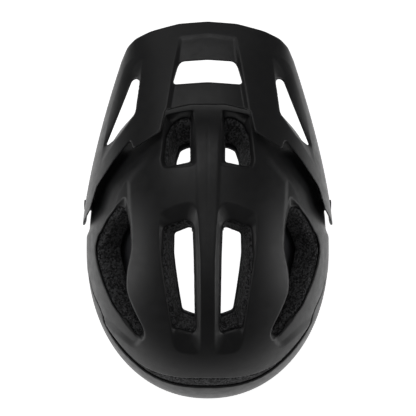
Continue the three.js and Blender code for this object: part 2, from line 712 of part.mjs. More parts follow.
place(root, 'buckle_prong_front', buckleProng(-1), look(0x141415, 0.4));

export default root;
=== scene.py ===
"""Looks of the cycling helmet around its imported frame."""

import json
import math

import bmesh
import bpy
import numpy as np
import openvdb
from mathutils import Matrix, Vector


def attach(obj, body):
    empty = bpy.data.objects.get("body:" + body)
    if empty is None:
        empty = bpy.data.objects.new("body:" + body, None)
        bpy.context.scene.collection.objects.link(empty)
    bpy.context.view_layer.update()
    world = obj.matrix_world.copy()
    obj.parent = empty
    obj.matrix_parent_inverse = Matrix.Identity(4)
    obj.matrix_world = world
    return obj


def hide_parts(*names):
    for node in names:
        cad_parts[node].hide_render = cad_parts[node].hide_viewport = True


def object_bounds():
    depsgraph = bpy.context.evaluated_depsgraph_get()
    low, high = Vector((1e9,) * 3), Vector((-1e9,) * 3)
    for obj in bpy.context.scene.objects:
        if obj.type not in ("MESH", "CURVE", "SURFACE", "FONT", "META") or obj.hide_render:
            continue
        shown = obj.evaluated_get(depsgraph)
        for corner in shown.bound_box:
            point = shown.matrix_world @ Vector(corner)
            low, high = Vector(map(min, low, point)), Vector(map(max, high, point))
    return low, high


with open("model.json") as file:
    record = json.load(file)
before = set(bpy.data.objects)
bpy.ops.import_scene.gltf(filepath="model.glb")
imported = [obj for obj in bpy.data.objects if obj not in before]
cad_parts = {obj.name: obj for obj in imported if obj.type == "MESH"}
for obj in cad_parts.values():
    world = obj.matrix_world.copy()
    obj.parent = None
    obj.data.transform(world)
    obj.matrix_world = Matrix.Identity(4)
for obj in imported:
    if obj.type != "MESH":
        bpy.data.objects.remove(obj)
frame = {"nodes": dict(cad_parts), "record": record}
CAD_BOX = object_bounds()
BODIES = frame["record"]["behaviour"]["bodies"]
BODY_OF = {node: body for body, nodes in BODIES.items() for node in nodes}

# ---------- driving dimensions, millimetres, in the shell's own leaning frame ----------
MM = 0.001
LEAN = math.radians(12)
DOME = {"half": 108, "front": 144, "back": 132, "up": 110, "down": 150}
CAVITY = {"half": 82, "front": 114, "back": 102, "up": 86, "down": 135}
DOME_POWER = 2.2
PLAN_POWER = {"front": 2.35, "back": 2.1}
SHELL_THICK = 2.1
FOAM_DEPTH = 2.5
RECESS = 6.0
LIP = 1.3
DENT = 2.4
PANEL_DROP = 1.6
RIDGE_RISE = 0.6
VISOR_THICK = 2.2
VISOR_POWER = 2.3
VISOR_SCOOP = 3.2
PIVOT = (-40, 12)

LONG_VENT = [(34.6, -21), (35, 0), (33, 17), (30, 38), (26.5, 60), (13, 65), (11, 61), (12, 4),
             (13, -23), (19, -27)]
LONG_RECESS = [(40.5, -34), (41, -24), (40, -3), (37, 19), (33.5, 40), (28.5, 77), (24, 83), (8, 84.5),
               (5.7, 79), (6.2, 4), (8.4, -36), (13.7, -44), (26.4, -41)]
FRONT_VENT = [(28.9, -108), (22.4, -111), (15.5, -112), (15, -77), (32.2, -73), (34.2, -76),
              (32.6, -97)]
FRONT_RECESS = [(12, -121), (9.6, -74.5), (14.5, -72), (37, -70.5), (39.4, -77), (35.5, -117)]
SIDE_VENT = [(71, -39), (81, -28), (89, -14), (92.3, -3), (90, 10), (85, 25), (76, 44), (55.7, 68), (54, 62),
             (64, 47), (70, 33), (69.8, 16), (65.6, -4), (66.8, -24)]
SIDE_RECESS = [(70, -50), (84, -33), (95, -17), (98.6, -5), (94.5, 17), (87.3, 34), (72, 60), (55.2, 76),
               (51.5, 68), (61.5, 46), (67.5, 32), (67, 16), (62.6, -4), (64, -25)]
SIDE_PANEL = [(62, -140), (62.5, -86), (64.5, -70), (64, -50), (62.2, -28), (62, -4), (66, 14), (68, 28),
              (64, 44), (52, 72), (62, 84), (84, 66), (130, 40), (130, -140)]
RIDGE = [(12, -140), (9, -75), (7.5, -30), (6, 0), (5.6, 60), (7, 84), (9, 96), (0, 100), (0, -140)]

VISOR_OUTLINE = [(0, -198.8), (25, -196.8), (49, -190.3), (62.6, -184), (70, -177), (75.5, -166),
                 (130, -166), (130, -14), (111.5, -19), (99.6, -36), (93.5, -55.5), (78, -77.5), (64.6, -94), (62, -86.4),
                 (39.1, -100.4), (35.1, -119), (15, -123.8), (-15, -123.8), (-35, -150), (-30, -198)]
VISOR_WINDOW = [(25, -158), (22, -162), (0, -163.5), (-22, -162), (-29, -142), (0, -144), (29.3, -142)]
VISOR_SCOOP_OUTLINE = [(25.5, -185), (0, -188.5), (-25.5, -185), (-35.5, -119), (-38, -100),
                       (38, -100), (35.5, -119)]
SIDE_WINDOW = [(58.3, -146), (61, -148), (64.7, -146.3), (71.2, -129), (78.7, -110), (86.8, -90), (76, -97.5),
               (61.2, -117.5)]
SIDE_WINDOW_RECESS = [(55, -168), (62.8, -167), (69, -163), (72.2, -158.5), (84.2, -118.5), (92.2, -71.8),
                      (76.2, -97), (61.2, -117.4), (57.5, -146)]

RIM = [(0, -2), (35, -3.5), (95, -16), (180, -16.5)]
UPPER_EDGE = [(0, 5), (50, 3), (80, -4), (95, 2), (106, 15), (119, 21.5), (143, 26), (180, 33.5)]
LOWER_EDGE = [(0, 3.6), (50, 1.6), (80, -5.4), (95, 0.6), (106, 13.6), (119, 20), (150, 23),
              (180, 26.5)]


# ---------- signed-distance tables of the plan's outlines ----------
TABLE_LOW = (0.0, -215.0)
TABLE_HIGH = (130.0, 145.0)
TABLE_STEP = 0.5


def rounded(points, radius):
    """The closed outline with each corner cut by a short quadratic curve."""
    pts = np.array(points, float)
    out = []
    for i, corner in enumerate(pts):
        before, after = pts[i - 1], pts[(i + 1) % len(pts)]
        ends = []
        for other in (before, after):
            length = np.linalg.norm(other - corner)
            ends.append(corner + (other - corner) * min(radius / length, 0.45))
        for t in (0, 0.25, 0.5, 0.75, 1):
            out.append((1 - t) ** 2 * ends[0] + 2 * t * (1 - t) * corner + t * t * ends[1])
    return np.array(out)


def outline_table(points, radius):
    """Signed distance to an outline on a grid of the plan, negative inside."""
    pts = rounded(points, radius)
    xs = np.arange(TABLE_LOW[0], TABLE_HIGH[0] + TABLE_STEP, TABLE_STEP)
    ys = np.arange(TABLE_LOW[1], TABLE_HIGH[1] + TABLE_STEP, TABLE_STEP)
    gx, gy = np.meshgrid(xs, ys, indexing="ij")
    nearest = np.full(gx.shape, 1e9)
    inside = np.zeros(gx.shape, bool)
    for a, b in zip(pts, np.roll(pts, -1, axis=0)):
        edge = b - a
        t = np.clip(((gx - a[0]) * edge[0] + (gy - a[1]) * edge[1]) / max(edge @ edge, 1e-9), 0, 1)
        away = (gx - a[0] - t * edge[0]) ** 2 + (gy - a[1] - t * edge[1]) ** 2
        nearest = np.minimum(nearest, away)
        crosses = (a[1] > gy) != (b[1] > gy)
        if edge[1]:
            inside ^= crosses & (gx < a[0] + (gy - a[1]) * edge[0] / edge[1])
    distance = np.sqrt(nearest)
    return np.where(inside, -distance, distance).astype(np.float32)


def look_up(table, x, y):
    """Bilinear value of a table at |x|, y."""
    u = np.clip((np.abs(x) - TABLE_LOW[0]) / TABLE_STEP, 0, table.shape[0] - 1.001)
    v = np.clip((y - TABLE_LOW[1]) / TABLE_STEP, 0, table.shape[1] - 1.001)
    i, j = u.astype(int), v.astype(int)
    s, t = u - i, v - j
    low = table[i, j] * (1 - s) + table[i + 1, j] * s
    high = table[i, j + 1] * (1 - s) + table[i + 1, j + 1] * s
    return low * (1 - t) + high * t


# ---------- fields ----------
def smooth_step(value, start, end):
    t = np.clip((value - start) / (end - start), 0, 1)
    return t * t * (3 - 2 * t)


def smooth_max(a, b, k):
    h = np.maximum(k - np.abs(a - b), 0) / k
    return np.maximum(a, b) + h * h * k / 4


def radius(shape, dx, dy, dz):
    front = dy < 0
    power = np.where(front, PLAN_POWER["front"], PLAN_POWER["back"])
    reach = np.where(front, shape["front"], shape["back"])
    tall = np.where(dz < 0, shape["down"], shape["up"])
    plan = (np.abs(dx) / shape["half"]) ** power + (np.abs(dy) / reach) ** power
    total = plan ** (DOME_POWER / power) + (np.abs(dz) / tall) ** DOME_POWER
    return np.maximum(total, 1e-6) ** (-1 / DOME_POWER)


def profile(pairs, angle):
    value = np.full(angle.shape, float(pairs[0][1]))
    for (a, u), (b, v) in zip(pairs, pairs[1:]):
        value += (v - u) * smooth_step(angle, a, b)
    return value


TABLES = {name: outline_table(points, round_by) for name, points, round_by in (
    ("long_vent", LONG_VENT, 2.5), ("long_recess", LONG_RECESS, 4.5),
    ("front_vent", FRONT_VENT, 1.8), ("front_recess", FRONT_RECESS, 2.5),
    ("side_vent", SIDE_VENT, 4), ("side_recess", SIDE_RECESS, 6),
    ("side_panel", SIDE_PANEL, 10), ("ridge", RIDGE, 4),
    ("visor", VISOR_OUTLINE, 2.6), ("window", VISOR_WINDOW, 3),
    ("scoop", VISOR_SCOOP_OUTLINE, 3), ("side_window", SIDE_WINDOW, 3),
    ("side_window_recess", SIDE_WINDOW_RECESS, 4))}
VENTS = (("long_recess", "long_vent"), ("front_recess", "front_vent"), ("side_recess", "side_vent"))


SKIN_INSET = 0.9


def dome_parts(x, y, z):
    """Everything that the dome's fields share at each point."""
    r = np.sqrt(x * x + y * y + z * z) + 1e-6
    dx, dy, dz = x / r, y / r, z / r
    outside = radius(DOME, dx, dy, dz)
    azimuth = np.degrees(np.arctan2(np.abs(dx), -dy))
    elevation = np.degrees(np.arcsin(np.clip(dz, -1, 1)))
    px, py = outside * dx, outside * dy
    above = elevation > 2
    floor = 1 - RECESS / outside
    recess = np.zeros(r.shape)
    vent = np.full(r.shape, 99.0)
    for rim_name, hole_name in VENTS:
        rim = np.where(above, look_up(TABLES[rim_name], px, py), 99.0)
        hole = np.where(above, look_up(TABLES[hole_name], px * floor, py * floor), 99.0)
        inward = np.maximum(-rim, 0)
        recess += RECESS * inward / (inward + np.maximum(hole, 0) + 0.3)
        vent = np.minimum(vent, hole)
    pocket = smooth_step(azimuth, 22, 32) * (1 - smooth_step(azimuth, 79, 84))
    pocket = DENT * pocket * (1 - smooth_step(elevation, 38, 45))
    panel = look_up(TABLES["side_panel"], px, py)
    drop = PANEL_DROP * smooth_step(-panel, 0, 5) * smooth_step(elevation, 6, 22)
    ridge = RIDGE_RISE * (1 - smooth_step(look_up(TABLES["ridge"], px, py), -1.5, 2.5))
    ridge *= smooth_step(elevation, 25, 40) * (1 - smooth_step(py, 20, 85))
    skin = outside - pocket - np.maximum(drop - pocket, 0) - recess + ridge - SKIN_INSET
    sloped = smooth_step(recess, 0, 1)
    return {"r": r, "d": (dx, dy, dz), "azimuth": azimuth, "elevation": elevation, "skin": skin,
            "thick": SHELL_THICK + sloped, "depth": FOAM_DEPTH + sloped,
            "vent": vent * np.clip(r / outside, 0.6, 1.1)}


def degrees_to_mm(angle, r):
    return np.radians(angle) * r


# radii of the blends, in mm
SHEET_BLEND, EDGE_BLEND, VISOR_BLEND, FOAM_BLEND, FOAM_VENT_BLEND = 0.8, 1.2, 1.4, 4, 1.6
SCREW_HOLE, VISOR_SCREW_HOLE = 5.4, 5.0


def screw_distance(x, y, z, hole):
    return np.where(np.abs(x) > 80, np.hypot(y - PIVOT[0], z - PIVOT[1]), 99.0) - hole


def upper_shell_field(x, y, z):
    p = dome_parts(x, y, z)
    body = smooth_max(p["r"] - p["skin"], p["skin"] - p["thick"] - p["r"], SHEET_BLEND)
    edge = degrees_to_mm(profile(UPPER_EDGE, p["azimuth"]) - p["elevation"], p["r"])
    body = smooth_max(body, edge, EDGE_BLEND)
    body = smooth_max(body, LIP - p["vent"], EDGE_BLEND)
    return smooth_max(body, -screw_distance(x, y, z, SCREW_HOLE), SHEET_BLEND)


def lower_shell_field(x, y, z):
    p = dome_parts(x, y, z)
    skin = p["skin"] - 0.3
    body = smooth_max(p["r"] - skin, skin - SHELL_THICK - p["r"], SHEET_BLEND)
    top = degrees_to_mm(p["elevation"] - profile(LOWER_EDGE, p["azimuth"]), p["r"])
    bottom = degrees_to_mm(profile(RIM, p["azimuth"]) - p["elevation"], p["r"])
    body = smooth_max(body, top, EDGE_BLEND)
    body = smooth_max(body, bottom, EDGE_BLEND)
    return smooth_max(body, -screw_distance(x, y, z, SCREW_HOLE), SHEET_BLEND)


def foam_field(x, y, z):
    p = dome_parts(x, y, z)
    between = smooth_step(p["elevation"] - profile(LOWER_EDGE, p["azimuth"]), 0, 1.5)
    between *= 1 - smooth_step(p["elevation"] - profile(UPPER_EDGE, p["azimuth"]), -1.5, 0)
    depth = p["depth"] - 1.2 * between - 1.8 * (1 - smooth_step(p["vent"], LIP - 0.9, LIP - 0.1))
    inside = radius(CAVITY, *p["d"])
    body = smooth_max(p["r"] - p["skin"] + depth, inside - p["r"], FOAM_BLEND)
    rim = degrees_to_mm(profile(RIM, p["azimuth"]) + 0.4 - p["elevation"], p["r"])
    body = smooth_max(body, rim, FOAM_BLEND)
    body = smooth_max(body, -p["vent"], FOAM_VENT_BLEND)
    return smooth_max(body, -screw_distance(x, y, z, SCREW_HOLE), SHEET_BLEND)


VISOR_HALF_WIDTH, VISOR_TAPER = 110.5, 0.02447
VISOR_CREST, VISOR_FALL, VISOR_DROOP = 96.4, 0.48, 0.0005


def visor_sections(y):
    """Half width, crest height and lip height of the visor at each distance along it."""
    width = VISOR_HALF_WIDTH - VISOR_TAPER * np.maximum(-15 - y, 0) ** 1.45
    crest = VISOR_CREST - VISOR_FALL * (-86 - y) - VISOR_DROOP * np.maximum(-86 - y, 0) ** 2
    lip = 22 * (-20 - y) / 155
    return width, crest, lip


def visor_field(x, y, z):
    width, crest, lip = visor_sections(y)
    scoop, window = look_up(TABLES["scoop"], x, y), look_up(TABLES["window"], x, y)
    inward = np.maximum(-scoop, 0)
    slope = smooth_step(y, -190, -150)
    relief = VISOR_SCOOP * smooth_step(inward, 0, 5) * (0.15 + 0.85 * slope)
    side_rim, side = look_up(TABLES["side_window_recess"], x, y), look_up(TABLES["side_window"], x, y)
    side_in = np.maximum(-side_rim, 0)
    relief = relief + 4.0 * side_in / (side_in + np.maximum(side, 0) + 0.4)
    rise = np.maximum(z + relief - lip, 0) / (crest - lip)
    q = ((np.abs(x) / width) ** VISOR_POWER + rise ** VISOR_POWER) ** (1 / VISOR_POWER)
    # dividing by the section's slope turns the ratio into a distance
    gx = np.abs(x) ** (VISOR_POWER - 1) / width ** VISOR_POWER
    gz = rise ** (VISOR_POWER - 1) / (crest - lip)
    gradient = np.hypot(gx, gz) / np.maximum(q, 1e-3) ** (VISOR_POWER - 1)
    tilt = np.hypot(1.0, 0.5 * gz / np.maximum(np.hypot(gx, gz), 1e-9))
    sheet = (q - 1) / np.maximum(gradient, 1e-4) / tilt
    body = smooth_max(sheet, -VISOR_THICK - sheet, VISOR_BLEND)
    body = smooth_max(body, lip - z, VISOR_BLEND)
    body = smooth_max(body, look_up(TABLES["visor"], x, y), EDGE_BLEND)
    body = smooth_max(body, -window, VISOR_BLEND)
    body = smooth_max(body, -side, VISOR_BLEND)
    return smooth_max(body, -screw_distance(x, y, z, VISOR_SCREW_HOLE), SHEET_BLEND)


# ---------- meshing ----------
LEANING = Matrix.Rotation(-LEAN, 3, "X")
SLAB = 24


def to_world(points):
    """Millimetres in the leaning shell frame to metres in the row frame."""
    return np.asarray(points) @ np.array(LEANING).T * MM


def new_piece(name, points, faces):
    mesh = bpy.data.meshes.new(name)
    mesh.from_pydata([tuple(p) for p in points], [], [tuple(int(i) for i in f) for f in faces])
    mesh.validate()
    mesh.update()
    mesh.shade_smooth()
    piece = bpy.data.objects.new(name, mesh)
    bpy.context.scene.collection.objects.link(piece)
    return piece


def field_piece(name, field, low, high, voxel):
    """A surface mesh of a field's zero level, with its vertices moved onto the exact level."""
    axes = [np.arange(a, b + voxel, voxel) for a, b in zip(low, high)]
    values = np.empty([len(a) for a in axes], np.float32)
    band = 3 * voxel
    for start in range(0, len(axes[2]), SLAB):
        part = axes[2][start:start + SLAB]
        x, y, z = np.meshgrid(axes[0], axes[1], part, indexing="ij")
        values[:, :, start:start + SLAB] = np.clip(field(x, y, z), -band, band)
    grid = openvdb.FloatGrid(background=band)
    grid.copyFromArray(values)
    points, quads = grid.convertToQuads(isovalue=0)
    points = np.array(points, float) * voxel + np.array(low, float)
    nudge = 0.05
    for _ in range(2):
        here = field(*points.T)
        shifted = [field(*(points + shift).T) for shift in np.eye(3) * nudge]
        slope = np.stack([(value - here) / nudge for value in shifted], axis=1)
        size = np.maximum((slope ** 2).sum(1), 0.2)
        move = -(here / size)[:, None] * slope
        points += np.clip(move, -voxel / 3, voxel / 3)
    return new_piece(name, to_world(points), quads[:, ::-1])


# ---------- camera, floor and light ----------
CAMERA_RANGE = 1250.0
CAMERA_AIM = (-0.27, -37.4)
PIXELS_PER_MM = 1.124
SENSOR = 36.0
FRAME_PIXELS = 416
FLOOR_SIZE, FLOOR_DROP, FLOOR_GLOW = 6, 0.12, 0.7
AMBIENT = 0.13
BACKGROUND = 1.0
# name, place and size in metres, power in watts; all aim at the origin
LIGHTS = (("key", (0.25, -0.9, 1.2), (0.9, 0.5), 4),
          ("side_left", (1.4, 0.2, 0.25), (0.5, 1.4), 9),
          ("side_right", (-1.4, 0.2, 0.25), (0.5, 1.4), 9),
          ("top", (0, 0.1, 1.9), (0.8, 0.8), 3))


def make_camera():
    data = bpy.data.cameras.new("camera")
    data.sensor_width = SENSOR
    data.lens = PIXELS_PER_MM * SENSOR * CAMERA_RANGE / FRAME_PIXELS
    data.clip_end = 20
    camera = bpy.data.objects.new("camera", data)
    bpy.context.scene.collection.objects.link(camera)
    place = Vector(to_world((*CAMERA_AIM, CAMERA_RANGE)))
    up = LEANING @ Vector((0, -1, 0))
    back = LEANING @ Vector((0, 0, 1))
    side = up.cross(back)
    camera.matrix_world = Matrix.Translation(place) @ Matrix((side, up, back)).transposed().to_4x4()
    bpy.context.scene.camera = camera


def area_light(name, place, size, power):
    data = bpy.data.lights.new(name, "AREA")
    data.shape = "RECTANGLE"
    data.size, data.size_y = size
    data.energy = power
    light = bpy.data.objects.new(name, data)
    bpy.context.scene.collection.objects.link(light)
    light.location = place
    light.rotation_euler = (Vector((0, 0, 0)) - Vector(place)).to_track_quat("-Z", "Y").to_euler()


def make_studio():
    bpy.context.scene.view_settings.view_transform = "Standard"
    bpy.ops.mesh.primitive_plane_add(size=FLOOR_SIZE, location=(0, 0, CAD_BOX[0][2] - FLOOR_DROP))
    floor = bpy.context.object
    floor.name = "floor"
    material, _, shader = new_material("pale_floor", (0.9, 0.9, 0.9), 0.9)
    shader.inputs["Emission Color"].default_value = (1, 1, 1, 1)
    shader.inputs["Emission Strength"].default_value = FLOOR_GLOW
    floor.data.materials.append(material)
    world = bpy.data.worlds.new("studio")
    world.use_nodes = True
    background = world.node_tree.nodes["Background"]
    background.inputs["Color"].default_value = (1, 1, 1, 1)
    seen = world.node_tree.nodes.new("ShaderNodeLightPath")
    level = world.node_tree.nodes.new("ShaderNodeMapRange")
    level.inputs["To Min"].default_value = AMBIENT
    level.inputs["To Max"].default_value = BACKGROUND
    link(world.node_tree, seen.outputs["Is Camera Ray"], level.inputs["Value"])
    link(world.node_tree, level.outputs["Result"], background.inputs["Strength"])
    bpy.context.scene.world = world
    for light in LIGHTS:
        area_light(*light)


# ---------- materials ----------
def new_material(name, colour, rough):
    material = bpy.data.materials.new(name)
    material.use_nodes = True
    shader = material.node_tree.nodes["Principled BSDF"]
    shader.inputs["Base Color"].default_value = (*colour, 1)
    shader.inputs["Roughness"].default_value = rough
    return material, material.node_tree, shader


def link(tree, output, target):
    tree.links.new(output, target)


def texture_space(tree):
    return tree.nodes.new("ShaderNodeTexCoord").outputs["Object"]


def noise(tree, space, scale, detail=3.0):
    node = tree.nodes.new("ShaderNodeTexNoise")
    node.inputs["Scale"].default_value = scale
    node.inputs["Detail"].default_value = detail
    link(tree, space, node.inputs["Vector"])
    return node.outputs["Fac"]


def remap(tree, value, low, high, start=0.3, end=0.7):
    node = tree.nodes.new("ShaderNodeMapRange")
    node.inputs["From Min"].default_value = start
    node.inputs["From Max"].default_value = end
    node.inputs["To Min"].default_value = low
    node.inputs["To Max"].default_value = high
    link(tree, value, node.inputs["Value"])
    return node.outputs["Result"]


def colour_between(tree, value, dark, light, start=0.3, end=0.7):
    ramp = tree.nodes.new("ShaderNodeValToRGB")
    ramp.color_ramp.elements[0].position = start
    ramp.color_ramp.elements[0].color = (*dark, 1)
    ramp.color_ramp.elements[1].position = end
    ramp.color_ramp.elements[1].color = (*light, 1)
    link(tree, value, ramp.inputs["Fac"])
    return ramp.outputs["Color"]


def bump(tree, shader, height, depth, strength=1.0, below=None):
    node = tree.nodes.new("ShaderNodeBump")
    node.inputs["Strength"].default_value = strength
    node.inputs["Distance"].default_value = depth
    link(tree, height, node.inputs["Height"])
    if below is not None:
        link(tree, below, node.inputs["Normal"])
    link(tree, node.outputs["Normal"], shader.inputs["Normal"])
    return node.outputs["Normal"]


def moulded(name, dark, light, rough, grain=1800.0, depth=0.00006):
    """Moulded or in-moulded plastic with a fine spark-eroded grain and faint handling marks."""
    material, tree, shader = new_material(name, dark, rough)
    space = texture_space(tree)
    broad = noise(tree, space, 28, 4)
    link(tree, colour_between(tree, broad, dark, light), shader.inputs["Base Color"])
    fine = noise(tree, space, grain, 2)
    handling = remap(tree, noise(tree, space, 160, 3), rough - 0.05, rough + 0.05)
    link(tree, handling, shader.inputs["Roughness"])
    shader.inputs["Specular IOR Level"].default_value = 0.3
    bump(tree, shader, fine, depth)
    return material


BEAD_SCALE = 760
BEAD_DARK = (0.004, 0.004, 0.0045)
BEAD_LIGHT = (0.075, 0.075, 0.078)


def bead_foam():
    """Moulded bead foam: domed cells, each of its own shade, with seams between them."""
    material, tree, shader = new_material("bead_foam", (0.03, 0.03, 0.032), 0.85)
    space = texture_space(tree)
    cells = tree.nodes.new("ShaderNodeTexVoronoi")
    cells.feature = "DISTANCE_TO_EDGE"
    cells.inputs["Scale"].default_value = BEAD_SCALE
    link(tree, space, cells.inputs["Vector"])
    tone = tree.nodes.new("ShaderNodeTexVoronoi")
    tone.inputs["Scale"].default_value = BEAD_SCALE
    link(tree, space, tone.inputs["Vector"])
    beads = colour_between(tree, tone.outputs["Color"], BEAD_DARK, BEAD_LIGHT, 0.3, 0.8)
    link(tree, beads, shader.inputs["Base Color"])
    shader.inputs["Specular IOR Level"].default_value = 0.35
    domes = bump(tree, shader, remap(tree, cells.outputs["Distance"], 0, 1, 0, 0.35), 0.0005)
    bump(tree, shader, noise(tree, space, 2600, 2), 0.0001, below=domes)
    return material


def give(piece, material):
    piece.data.materials.clear()
    piece.data.materials.append(material)


def shell_pieces():
    satin = moulded("shell_matte", (0.0055, 0.0055, 0.006), (0.008, 0.008, 0.0085), 0.42)
    band = moulded("lower_shell_matte", (0.006, 0.006, 0.0065), (0.009, 0.009, 0.0095), 0.42)
    peak = moulded("visor_matte", (0.0065, 0.0065, 0.007), (0.0095, 0.0095, 0.010), 0.4, 1500)
    specs = (
        ("outer_shell_skin", "outer_shell", upper_shell_field,
         (-110, -146, -14), (110, 128, 112), 1.05, satin, "shell"),
        ("lower_shell_skin", "lower_shell", lower_shell_field,
         (-110, -146, -42), (110, 134, 66), 1.3, band, "shell"),
        ("foam_body", "eps_liner", foam_field,
         (-110, -144, -42), (110, 132, 111), 1.6, bead_foam(), "foam"),
        ("visor_peak", "visor", visor_field,
         (-113, -202, -4), (113, -12, 98), 0.95, peak, "visor"))
    for name, node, field, low, high, voxel, material, slot in specs:
        piece = field_piece(name, field, low, high, voxel)
        give(piece, material)
        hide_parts(node)
        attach(piece, BODY_OF[node])


# ---------- the thin slip liner ----------
LINER_DEPTH = (3.7, 4.3)
LINER_GRID = (300, 96)
RAIL_NOTCH = 12
LINER_RIM_GAP = 5


def cavity_points(azimuth, elevation, depth):
    d = (np.sin(azimuth) * np.cos(elevation), -np.cos(azimuth) * np.cos(elevation), np.sin(elevation))
    r = radius(CAVITY, *d) - depth
    return np.stack([c * r for c in d], axis=-1)


def vent_at(azimuth, elevation):
    """Distance to the nearest vent that opens through the liner, positive on material."""
    d = (np.sin(azimuth) * np.cos(elevation), -np.cos(azimuth) * np.cos(elevation), np.sin(elevation))
    r = radius(DOME, *d)
    nearest = np.full(r.shape, 99.0)
    for hole in ("long_vent", "front_vent"):
        nearest = np.minimum(nearest, look_up(TABLES[hole], (r - RECESS) * d[0], (r - RECESS) * d[1]))
    return np.where(elevation > 0.03, nearest, 99.0) - 0.5


def slip_liner():
    around, rows = LINER_GRID
    azimuth = np.repeat(np.arange(around) * 2 * np.pi / around, rows)
    t = np.tile(np.linspace(0.003, 1, rows), around)
    from_front = np.abs((np.degrees(azimuth) + 180) % 360 - 180)
    lowest = np.radians(profile(RIM, from_front) + LINER_RIM_GAP)
    # the lower edge rises over the height rail at the back
    lowest = lowest + np.radians(RAIL_NOTCH) * smooth_step(from_front, 166, 172)
    elevation = np.pi / 2 + (lowest - np.pi / 2) * t
    value = vent_at(azimuth, elevation)
    index = np.arange(around * rows).reshape(around, rows)
    a, b = index[:, :-1], np.roll(index, -1, axis=0)[:, :-1]
    quads = np.stack([a, a + 1, b + 1, b], axis=-1).reshape(-1, 4)
    keep = quads[(value[quads] > 0).all(axis=1)]
    edges = {}
    for quad in keep:
        for i in range(4):
            key = tuple(sorted((quad[i], quad[(i + 1) % 4])))
            edges[key] = edges.get(key, 0) + 1
    open_ends = {v for edge, uses in edges.items() if uses == 1 for v in edge}
    border = np.array(sorted(open_ends - set(index[:, -1]) - set(index[:, 0])))
    nudge = 0.002
    for _ in range(4):
        u, v = azimuth[border], elevation[border]
        here = vent_at(u, v)
        du = (vent_at(u + nudge, v) - here) / nudge
        dv = (vent_at(u, v + nudge) - here) / nudge
        size = np.maximum(du ** 2 / np.cos(v) ** 2 + dv ** 2, 100.0)
        azimuth[border] -= np.clip(here * du / np.cos(v) ** 2 / size, -0.03, 0.03)
        elevation[border] -= np.clip(here * dv / size, -0.03, 0.03)
    outer, inner = (cavity_points(azimuth, elevation, depth) for depth in LINER_DEPTH)
    count = len(outer)
    walls = []
    for quad in keep:
        for i in range(4):
            p, q = quad[i], quad[(i + 1) % 4]
            if edges[tuple(sorted((p, q)))] == 1:
                walls.append((q, p, p + count, q + count))
    faces = [tuple(f) for f in keep] + [tuple(f[::-1] + count) for f in keep] + walls
    piece = new_piece("slip_sheet", to_world(np.concatenate([outer, inner])), faces)
    tidy = bmesh.new()
    tidy.from_mesh(piece.data)
    bmesh.ops.delete(tidy, geom=[v for v in tidy.verts if not v.link_faces], context="VERTS")
    bmesh.ops.holes_fill(tidy, edges=tidy.edges, sides=around + 4)
    bmesh.ops.recalc_face_normals(tidy, faces=tidy.faces)
    tidy.to_mesh(piece.data)
    tidy.free()
    give(piece, moulded("slip_satin", (0.03, 0.03, 0.033), (0.036, 0.036, 0.04), 0.38, 600, 0.00002))
    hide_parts("slip_liner")
    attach(piece, BODY_OF["slip_liner"])


# ---------- pads ----------
PAD_LEVEL = 4.4
PAD_THICK = 6.9
PAD_SPECS = (
    ("brow_pad", (-42, 42), (2, 14), 7), ("crown_pad_front", (-6, 6), (32, 62), 1),
    ("crown_pad_rear", (174, 186), (32, 62), 1), ("crown_pad_left", (78, 102), (52, 61), 2),
    ("crown_pad_right", (258, 282), (52, 61), 2))


def knit(name):
    """Brushed wicking knit: fine loops and soft sheen."""
    material, tree, shader = new_material(name, (0.012, 0.012, 0.013), 0.92)
    space = texture_space(tree)
    loops = tree.nodes.new("ShaderNodeTexVoronoi")
    loops.inputs["Scale"].default_value = 1300
    link(tree, space, loops.inputs["Vector"])
    tone = noise(tree, space, 60, 4)
    shades = colour_between(tree, tone, (0.010, 0.010, 0.011), (0.020, 0.020, 0.022))
    link(tree, shades, shader.inputs["Base Color"])
    shader.inputs["Sheen Weight"].default_value = 0.35
    shader.inputs["Sheen Roughness"].default_value = 0.5
    shader.inputs["Specular IOR Level"].default_value = 0.2
    soft = bump(tree, shader, noise(tree, space, 400, 3), 0.0003)
    bump(tree, shader, loops.outputs["Distance"], 0.0003, below=soft)
    return material


PAD_EDGE = 0.8


